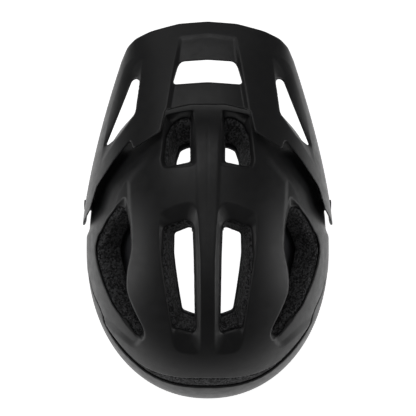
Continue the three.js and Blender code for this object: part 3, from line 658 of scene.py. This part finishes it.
def pad_piece(node, azimuths, elevations, channels, material):
    """A crowned pad: flat on the liner, swelling towards the head, pinched at its sewn channels."""
    n, m = (90 if channels > 2 else 48), 28
    u, v = np.meshgrid(np.linspace(-1, 1, n), np.linspace(-1, 1, m), indexing="ij")
    ends = (1 - np.abs(u) ** 10) ** 0.35
    a = np.radians(azimuths[0] + (azimuths[1] - azimuths[0]) * (u + 1) / 2)
    middle, half = (elevations[0] + elevations[1]) / 2, (elevations[1] - elevations[0]) / 2
    e = np.radians(middle + half * v * (0.72 + 0.28 * ends))
    crown = ((1 - u ** 8) * (1 - np.abs(v) ** 4)) ** 0.5
    pinch = 1 - 0.5 * np.exp(-(np.sin(np.pi * channels * (u + 1) / 2) / 0.12) ** 2) * (np.abs(u) < 0.97)
    if channels < 2:
        pinch = 1 - 0.45 * np.exp(-(v / 0.1) ** 2)
    low = cavity_points(a, e, np.full(a.shape, PAD_LEVEL))
    high = cavity_points(a, e, PAD_LEVEL + PAD_EDGE + (PAD_THICK - PAD_EDGE) * crown * pinch)
    count = n * m
    index = np.arange(count).reshape(n, m)
    corners = [index[:-1, :-1], index[1:, :-1], index[1:, 1:], index[:-1, 1:]]
    quads = np.stack(corners, axis=-1).reshape(-1, 4)
    loop = list(index[:, 0]) + list(index[-1, 1:]) + list(index[-2::-1, -1]) + list(index[0, -2:0:-1])
    walls = [(loop[i], loop[(i + 1) % len(loop)], loop[(i + 1) % len(loop)] + count, loop[i] + count)
             for i in range(len(loop))]
    faces = [tuple(q[::-1]) for q in quads] + [tuple(q + count) for q in quads] + walls
    points = np.concatenate([low.reshape(-1, 3), high.reshape(-1, 3)])
    piece = new_piece(node + "_soft", to_world(points), faces)
    fix_normals(piece)
    give(piece, material)
    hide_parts(node)
    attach(piece, BODY_OF[node])


def fix_normals(piece):
    mesh = bmesh.new()
    mesh.from_mesh(piece.data)
    bmesh.ops.recalc_face_normals(mesh, faces=mesh.faces)
    mesh.to_mesh(piece.data)
    mesh.free()


# ---------- webbing, bands and other strips, upright frame in millimetres ----------
WEB = {"width": 13, "thick": 1.4}
DIVIDER = {"x": 79, "y": -4, "top": -88}
STRAP_DROP = 6.5
STRAP_APART = 8
PLUG_AZIMUTHS = {"front": 68, "rear": 128}
BUCKLE = {"y": -57, "z": -146.5}
CHIN_PATH = [(79, -4, -113.5), (74.5, -24, -127), (58, -45, -139), (38, BUCKLE["y"] + 1, -144.5),
             (16.4, BUCKLE["y"], BUCKLE["z"])]
RACK = {"y": 88, "z": -86}
BAND = {"width": 5, "thick": 1.6, "level": 6.85}


def smooth_path(points, spacing):
    """Evenly spaced points of the centripetal Catmull-Rom curve through the given ones."""
    pts = [np.array(p, float) for p in points]
    pts = [2 * pts[0] - pts[1]] + pts + [2 * pts[-1] - pts[-2]]
    dense = []
    for p0, p1, p2, p3 in zip(pts, pts[1:], pts[2:], pts[3:]):
        k = np.cumsum([0] + [np.sqrt(np.linalg.norm(b - a)) for a, b in ((p0, p1), (p1, p2), (p2, p3))])
        for t in np.linspace(k[1], k[2], 40, endpoint=False):
            a1, a2, a3 = (((k[i + 1] - t) * a + (t - k[i]) * b) / (k[i + 1] - k[i])
                          for i, (a, b) in enumerate(((p0, p1), (p1, p2), (p2, p3))))
            b1 = ((k[2] - t) * a1 + (t - k[0]) * a2) / (k[2] - k[0])
            b2 = ((k[3] - t) * a2 + (t - k[1]) * a3) / (k[3] - k[1])
            dense.append(((k[2] - t) * b1 + (t - k[1]) * b2) / (k[2] - k[1]))
    dense = np.array(dense + [pts[-2]])
    length = np.concatenate([[0], np.cumsum(np.linalg.norm(np.diff(dense, axis=0), axis=1))])
    even = np.linspace(0, length[-1], max(3, int(length[-1] / spacing)))
    return np.stack([np.interp(even, length, dense[:, i]) for i in range(3)], axis=1), even


def strip_piece(name, points, across, width, thick, spacing=1.5, corner=0.5):
    """A flat strip along a path, with rounded edges.

    The attribute 'weave' holds each point's place across and along it.
    """
    path, along = smooth_path(points, spacing)
    tangent = np.gradient(path, axis=0)
    tangent /= np.linalg.norm(tangent, axis=1)[:, None]
    wide = np.tile(np.array(across, float), (len(path), 1))
    wide -= (wide * tangent).sum(1)[:, None] * tangent
    wide /= np.linalg.norm(wide, axis=1)[:, None]
    deep = np.cross(tangent, wide)
    section = []
    for sx, sy, turn in ((1, -1, -90), (1, 1, 0), (-1, 1, 90), (-1, -1, 180)):
        r = min(corner, thick / 2)
        for step in (0, 45, 90):
            angle = math.radians(turn + step)
            section.append((sx * (width / 2 - r) + r * math.cos(angle),
                            sy * (thick / 2 - r) + r * math.sin(angle)))
    sides = len(section)
    verts, weave, faces = [], [], []
    for i, centre in enumerate(path):
        for u, v in section:
            verts.append((centre + u * wide[i] + v * deep[i]) * MM)
            weave.append((u * MM, along[i] * MM, v * MM))
    for i in range(len(path) - 1):
        for k in range(sides):
            a, b = i * sides + k, i * sides + (k + 1) % sides
            faces.append((a, b, b + sides, a + sides))
    faces += [tuple(range(sides))[::-1], tuple(range((len(path) - 1) * sides, len(path) * sides))]
    piece = new_piece(name, verts, faces)
    fix_normals(piece)
    layer = piece.data.attributes.new("weave", "FLOAT_VECTOR", "POINT")
    layer.data.foreach_set("vector", np.array(weave, np.float32).ravel())
    return piece


def webbing_material():
    """Flat polyester webbing: a fine twill."""
    material, tree, shader = new_material("webbing", (0.012, 0.012, 0.013), 0.82)
    place = tree.nodes.new("ShaderNodeAttribute")
    place.attribute_name = "weave"
    heights = []
    for turn, scale in ((0.7, 900.0), (-0.7, 900.0)):
        mapping = tree.nodes.new("ShaderNodeMapping")
        mapping.inputs["Rotation"].default_value = (0, 0, turn)
        link(tree, place.outputs["Vector"], mapping.inputs["Vector"])
        wave = tree.nodes.new("ShaderNodeTexWave")
        wave.inputs["Scale"].default_value = scale / 6.3
        link(tree, mapping.outputs["Vector"], wave.inputs["Vector"])
        heights.append(wave.outputs["Fac"])
    both = tree.nodes.new("ShaderNodeMath")
    both.operation = "MULTIPLY"
    link(tree, heights[0], both.inputs[0])
    link(tree, heights[1], both.inputs[1])
    yarn = colour_between(
        tree, both.outputs["Value"], (0.008, 0.008, 0.009), (0.022, 0.022, 0.024), 0.1, 0.9)
    link(tree, yarn, shader.inputs["Base Color"])
    shader.inputs["Sheen Weight"].default_value = 0.2
    shader.inputs["Specular IOR Level"].default_value = 0.3
    bump(tree, shader, both.outputs["Value"], 0.0003)
    return material


def dress(piece, node, material):
    give(piece, material)
    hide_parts(node)
    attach(piece, BODY_OF[node])


def rim_centre(degrees):
    a = np.radians(np.array([degrees], float))
    e = np.radians(profile(RIM, np.degrees(a)))
    d = (np.sin(a) * np.cos(e), -np.cos(a) * np.cos(e), np.sin(e))
    pocket = DENT * smooth_step(np.degrees(a), 22, 32) * (1 - smooth_step(np.degrees(a), 79, 84))
    r = (radius(DOME, *d) - pocket + radius(CAVITY, *d)) / 2
    return np.array([c[0] * r[0] for c in d])


def straps():
    web = webbing_material()
    for side_name, side in (("left", 1), ("right", -1)):
        for end, azimuth in PLUG_AZIMUTHS.items():
            centre = rim_centre(azimuth)
            start = to_world((side * centre[0], centre[1], centre[2] - STRAP_DROP)) / MM
            apart = -STRAP_APART if end == "front" else STRAP_APART
            stop = np.array((side * DIVIDER["x"], DIVIDER["y"] + apart, DIVIDER["top"] + 4))
            middle = 0.4 * start + 0.6 * stop
            above = (stop[0], stop[1] + 0.35 * (middle[1] - stop[1]), stop[2] + 9)
            node = f"ear_strap_{end}_{side_name}"
            path = [start, middle, above, stop]
            piece = strip_piece(node + "_web", path, (0, 1, 0), WEB["width"], WEB["thick"])
            dress(piece, node, web)
        node = "chin_strap_" + side_name
        path = [(side * x, y, z) for x, y, z in CHIN_PATH]
        piece = strip_piece(node + "_web", path, (0, 1, 0), WEB["width"], WEB["thick"])
        dress(piece, node, web)


BAND_PATH = [(50, 78, -80), (66, 52, -64), (71, 20, -44), (70.5, -15, -22), (67, -43, -2)]
NAPE_PATH = [(8, 81, -65.5), (20, 77.5, -64.5), (32, 71.2, -62), (44, 61, -58)]
CHIN_PAD_PATH = [(57.4, -45.5, -135.8), (47.4, -51.5, -139.1), (37.4, -56, -141.3), (23.4, -57, -142.8)]


def fit_bands(material):
    for side_name, side in (("left", 1), ("right", -1)):
        node = "fit_band_" + side_name
        rack = [(x, RACK["y"], RACK["z"] + side * BAND["level"]) for x in (-18, 0, 20, 27)]
        path = [(side * x, y, z) for x, y, z in rack + BAND_PATH]
        piece = strip_piece(node + "_nylon", path, (0, 0, 1), BAND["width"], BAND["thick"], 2.0, 0.6)
        dress(piece, node, material)


def swollen_strip(node, path, across, width, thick, rows=26, columns=14):
    """A small padded sleeve along a path: crowned alike above and below, with drawn-in ends."""
    centre, along = smooth_path(path, 0.5)
    along /= along[-1]
    tangent = np.gradient(centre, axis=0)
    tangent /= np.linalg.norm(tangent, axis=1)[:, None]
    wide = np.tile(np.array(across, float), (len(centre), 1))
    wide -= (wide * tangent).sum(1)[:, None] * tangent
    wide /= np.linalg.norm(wide, axis=1)[:, None]
    deep = np.cross(tangent, wide)
    verts = []
    for i in range(rows + 1):
        u = 2 * i / rows - 1
        ends = (1 - abs(u) ** 8) ** 0.3
        at = (u + 1) / 2
        pick = lambda values: np.array([np.interp(at, along, values[:, k]) for k in range(3)])
        c, w, d = pick(centre), pick(wide), pick(deep)
        for k in range(columns):
            angle = 2 * math.pi * k / columns
            a = abs(math.cos(angle)) ** 0.6 * math.copysign(1, math.cos(angle))
            b = abs(math.sin(angle)) ** 0.8 * math.copysign(1, math.sin(angle))
            v = width / 2 * a * (0.6 + 0.4 * ends)
            h = thick / 2 * b * (0.15 + 0.85 * ends)
            verts.append((c + v * w + h * d) * MM)
    faces = [(i * columns + k, i * columns + (k + 1) % columns,
              (i + 1) * columns + (k + 1) % columns, (i + 1) * columns + k)
             for i in range(rows) for k in range(columns)]
    faces += [tuple(range(columns))[::-1], tuple(range(rows * columns, (rows + 1) * columns))]
    piece = new_piece(node + "_soft", verts, faces)
    fix_normals(piece)
    subdivide(piece, 1)
    dress(piece, node, PAD_KNIT)


def subdivide(piece, levels):
    modifier = piece.modifiers.new("smooth", "SUBSURF")
    modifier.levels = modifier.render_levels = levels


def soft_sleeves():
    swollen_strip("chin_pad", CHIN_PAD_PATH, (0, 1, 0), 15.4, 3.8)
    for side_name, side in (("left", 1), ("right", -1)):
        path = [(side * x, y, z) for x, y, z in NAPE_PATH]
        swollen_strip("nape_pad_" + side_name, path, (0, 0, 1), 15.4, 3.8)


# ---------- the small hard parts: CAD nodes with rounded edges and their own finish ----------
def rounded_edges(node, width, segments=3, angle=32):
    modifier = frame["nodes"][node].modifiers.new("edges", "BEVEL")
    modifier.width = width * MM
    modifier.segments = segments
    modifier.limit_method = "ANGLE"
    modifier.angle_limit = math.radians(angle)
    modifier.harden_normals = True


def metal(name, colour, rough):
    material, tree, shader = new_material(name, colour, rough)
    shader.inputs["Metallic"].default_value = 1.0
    space = texture_space(tree)
    brushed = remap(tree, noise(tree, space, 900, 3), rough - 0.06, rough + 0.1)
    link(tree, brushed, shader.inputs["Roughness"])
    tone = noise(tree, space, 120, 3)
    dark = tuple(c * 0.8 for c in colour)
    link(tree, colour_between(tree, tone, dark, colour), shader.inputs["Base Color"])
    bump(tree, shader, noise(tree, space, 2400, 2), 0.00003)
    return material


def hard_parts():
    acetal = moulded("acetal_black", (0.008, 0.008, 0.0085), (0.012, 0.012, 0.0125), 0.36, 2200, 0.00003)
    nylon = moulded("nylon_black", (0.010, 0.010, 0.0105), (0.015, 0.015, 0.0155), 0.45, 1500, 0.00008)
    rubber = moulded("rubber_black", (0.012, 0.012, 0.0125), (0.018, 0.018, 0.019), 0.72, 1300, 0.00012)
    elastomer = moulded("elastomer_yellow", (0.42, 0.33, 0.02), (0.50, 0.40, 0.03), 0.55, 1500, 0.00005)
    brass = metal("black_oxide_insert", (0.06, 0.06, 0.065), 0.4)
    finishes = {
        "height_rail": (nylon, 0.5), "cradle": (nylon, 0.5), "rack_housing": (nylon, 1.2),
        "dial_pinion": (acetal, 0.15), "dial_knob": (rubber, 0.5), "strap_keeper": (rubber, 0.5),
        "buckle_socket": (acetal, 0.7), "buckle_plug": (acetal, 0.6),
        "buckle_prong_rear": (acetal, 0.5), "buckle_prong_front": (acetal, 0.5)}
    for side in ("left", "right"):
        finishes.update({
            "visor_screw_" + side: (acetal, 0.35), "visor_washer_" + side: (rubber, 0.2),
            "visor_nut_" + side: (brass, 0.2), "strap_divider_" + side: (acetal, 0.8),
            "divider_lever_" + side: (acetal, 0.5), "strap_plug_front_" + side: (nylon, 0.8),
            "strap_plug_rear_" + side: (nylon, 0.8)})
    for i in range(4):
        finishes[f"slip_anchor_{i + 1}"] = (elastomer, 0.25)
    for node, (material, width) in finishes.items():
        give(frame["nodes"][node], material)
        rounded_edges(node, width)
    return nylon


make_camera()
make_studio()
shell_pieces()
slip_liner()
PAD_KNIT = knit("pad_knit")
for spec in PAD_SPECS:
    pad_piece(*spec, PAD_KNIT)
straps()
soft_sleeves()
fit_bands(hard_parts())
